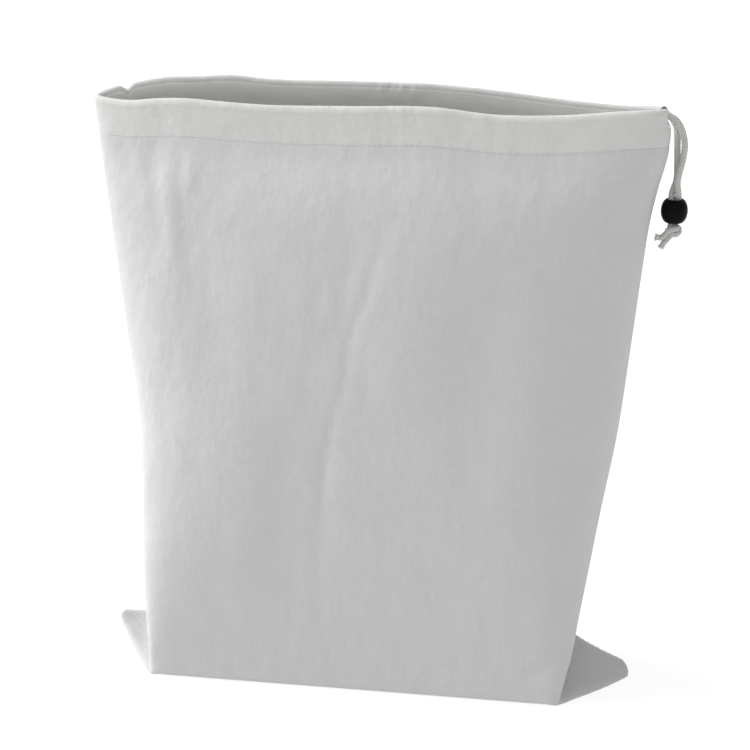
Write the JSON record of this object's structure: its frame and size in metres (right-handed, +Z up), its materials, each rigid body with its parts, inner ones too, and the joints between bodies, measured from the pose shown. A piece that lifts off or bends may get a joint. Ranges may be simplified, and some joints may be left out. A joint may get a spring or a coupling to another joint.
{
  "type": "drawstring shoe bag",
  "caption": "Thin white cotton drawstring bag for shoes, standing open on its pushed-out base, with a casing at the mouth, a knotted cord and a black cord bead.",
  "frame": {"origin": "on the floor, under the middle of the standing bag's width and depth, free cord left out", "axes": "+Z up, the front faces -Y, +X is the viewer's right, where the cord comes out"},
  "size_m": [0.3552, 0.1105, 0.3684],
  "materials": {
    "white_cotton": "plain woven, matt",
    "cotton_cord": "braided, matt",
    "black_bead": "satin black"
  },
  "bodies": {
    "root": {"front_panel": "white_cotton", "back_panel": "white_cotton", "casing": "white_cotton", "drawcord_run": "cotton_cord", "strand_front": "cotton_cord", "strand_back": "cotton_cord", "tail_upper": "cotton_cord", "tail_lower": "cotton_cord", "bead": "black_bead", "knot": "cotton_cord"}
  },
  "joints": []
}
